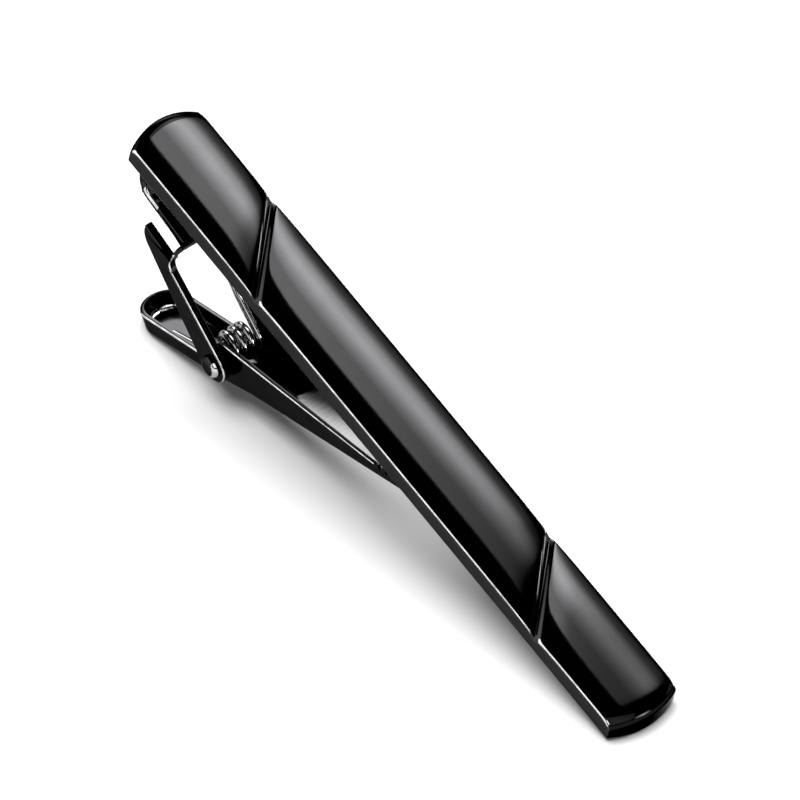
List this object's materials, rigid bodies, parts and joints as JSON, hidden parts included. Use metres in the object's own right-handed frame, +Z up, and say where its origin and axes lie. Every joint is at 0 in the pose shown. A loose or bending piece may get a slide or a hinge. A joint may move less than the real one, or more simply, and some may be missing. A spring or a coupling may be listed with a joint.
{
  "type": "tie clip",
  "caption": "Slim tie clip: a crowned bar with slanting grooves, and a sprung toothed lever hinged in a folded bracket under one end that grips tie and shirt against the bar's back.",
  "frame": {"origin": "on the table under the middle of the clip's box, as it lies on its lever's tail and the bar's free end", "axes": "+X along the clip from the hinge towards the bar's free end, +Y across it, +Z up from the table"},
  "size_m": [0.058, 0.0066, 0.0213],
  "materials": {
    "plated_bar": "mirror-polished black plating",
    "plated_sheet": "glossy black plating",
    "spring_wire": "bright dark wire"
  },
  "bodies": {
    "clip_body": {"front_bar": "plated_bar", "solder_fillet": "plated_sheet", "hinge_bracket": "plated_sheet", "hinge_pin": "plated_sheet", "torsion_spring": "spring_wire"},
    "lever": {"jaw_lever": "plated_sheet"}
  },
  "joints": [
    {"name": "lever_pivot", "type": "hinge", "parent": "clip_body", "child": "lever", "pos_m": [-0.01781, 0, 0.00407], "axis": [0, 1, 0], "range_deg": [0, 35], "stiffness_Nm_per_rad": 0.006, "springref_deg": -114.59, "deforming": ["torsion_spring"]}
  ]
}
